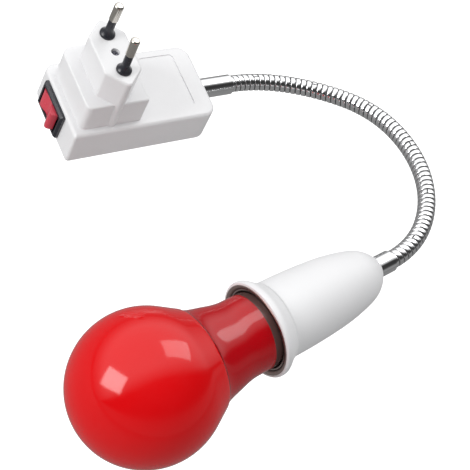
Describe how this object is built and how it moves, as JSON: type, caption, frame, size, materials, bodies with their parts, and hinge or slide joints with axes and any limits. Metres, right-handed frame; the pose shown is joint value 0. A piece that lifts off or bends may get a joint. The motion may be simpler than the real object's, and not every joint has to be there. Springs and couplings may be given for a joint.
{
  "type": "plug-in gooseneck lamp holder with red safelight lamp",
  "caption": "Plug-in lamp holder: white adapter with pins and a rocker switch, bendable chrome gooseneck, white screw socket and a round red safelight lamp.",
  "frame": {"origin": "on the plug face, on the screw's axis midway between the two pins, where a wall socket holds it", "axes": "+Z out of the plug face along the pins, +X from the switch towards the neck, +Y from the front pin to the rear pin; the adapter's back and the foot of the lamp's globe are level at z = -47.3 mm"},
  "size_m": [0.2007, 0.1858, 0.0663],
  "materials": {
    "white_plastic": "glossy moulded white",
    "black_plastic": "semi-gloss black",
    "rocker_red": "glossy red",
    "lamp_red": "glossy bright red coating",
    "lamp_crimson": "glossy dark crimson coating",
    "insulator_black": "glossy dark vitreous",
    "base_grey": "matte grey moulding",
    "nickel": "nickel plated",
    "chrome": "bright chrome plated",
    "zinc_steel": "zinc plated",
    "brass": "bright brass",
    "lamp_cap": "bright aluminium",
    "brown_wire": "brown insulation",
    "blue_wire": "blue insulation",
    "flex_sheath": "white twin sheath"
  },
  "bodies": {
    "adapter": {"plug_housing": "white_plastic", "back_cover": "white_plastic", "housing_screw": "zinc_steel", "line_pin": "nickel", "neutral_pin": "nickel", "line_pin_sleeve": "black_plastic", "neutral_pin_sleeve": "black_plastic", "switch_frame": "black_plastic", "switch_terminal_line": "brass", "switch_terminal_load": "brass", "lead_line": "brown_wire", "lead_switched": "brown_wire", "lead_neutral": "blue_wire", "plug_ferrule": "chrome", "plug_nut": "zinc_steel", "neck_span_1": "chrome", "neck_flex_1": "flex_sheath"},
    "rocker": {"switch_rocker": "rocker_red"},
    "neck_2": {"neck_span_2": "chrome", "neck_flex_2": "flex_sheath"},
    "neck_3": {"neck_span_3": "chrome", "neck_flex_3": "flex_sheath"},
    "neck_4": {"neck_span_4": "chrome", "neck_flex_4": "flex_sheath"},
    "neck_5": {"neck_span_5": "chrome", "neck_flex_5": "flex_sheath"},
    "holder": {"neck_span_6": "chrome", "neck_flex_6": "flex_sheath", "holder_ferrule": "chrome", "holder_nut": "zinc_steel", "holder_bracket": "zinc_steel", "holder_shell": "white_plastic", "contact_base": "base_grey", "screw_shell": "brass", "centre_contact": "brass", "contact_rivets": "brass", "base_screws": "zinc_steel", "lead_contact": "brown_wire", "lead_shell": "blue_wire"},
    "lamp_slide": {"tip_contact": "brass"},
    "lamp": {"bulb_dome": "lamp_red", "bulb_neck": "lamp_crimson", "bulb_cap": "lamp_cap", "cap_insulator": "insulator_black"}
  },
  "joints": [
    {"name": "rocker_tilt", "type": "hinge", "parent": "adapter", "child": "rocker", "pos_m": [-0.01623, 0.0018, -0.03866], "axis": [0.0314, 0, 0.9995], "range_deg": [0, 22]},
    {"name": "neck_bend_1", "type": "hinge", "parent": "adapter", "child": "neck_2", "pos_m": [0.09858, -0.00732, -0.03517], "axis": [-0.1874, 0.1082, 0.9763], "range_deg": [-28, 45], "deforming": ["neck_span_1", "neck_flex_1", "neck_span_2", "neck_flex_2"]},
    {"name": "neck_lift_2", "type": "hinge", "parent": "neck_2", "child": "neck_3", "pos_m": [0.1191, -0.02595, -0.02676], "axis": [0.8192, 0.5736, 0], "range_deg": [-45, 45], "deforming": ["neck_span_2", "neck_flex_2", "neck_span_3", "neck_flex_3"]},
    {"name": "neck_bend_3", "type": "hinge", "parent": "neck_3", "child": "neck_4", "pos_m": [0.12862, -0.05174, -0.01781], "axis": [-0.0262, 0.249, 0.9681], "range_deg": [-28, 45], "deforming": ["neck_span_3", "neck_flex_3", "neck_span_4", "neck_flex_4"]},
    {"name": "neck_lift_4", "type": "hinge", "parent": "neck_4", "child": "neck_5", "pos_m": [0.12534, -0.0799, -0.0119], "axis": [-0.9455, 0.3256, 0], "range_deg": [-45, 45], "deforming": ["neck_span_4", "neck_flex_4", "neck_span_5", "neck_flex_5"]},
    {"name": "neck_bend_5", "type": "hinge", "parent": "neck_5", "child": "holder", "pos_m": [0.10965, -0.104, -0.00892], "axis": [-0.0383, -0.0357, -0.9986], "range_deg": [-45, 28], "deforming": ["neck_span_5", "neck_flex_5", "neck_span_6", "neck_flex_6"]},
    {"name": "lamp_travel", "type": "slide", "parent": "holder", "child": "lamp_slide", "axis": [-0.9855, -0.1561, -0.0663], "range_m": [0, 0.01815]},
    {"name": "lamp_turn", "type": "hinge", "parent": "lamp_slide", "child": "lamp", "pos_m": [-0.03771, -0.13585, -0.0173], "axis": [-0.9855, -0.1561, -0.0663], "range_deg": [0, 1800]}
  ],
  "couplings": [
    {"joint": "lamp_travel", "follows": "lamp_turn", "m_per_rad": 0.00057757}
  ]
}
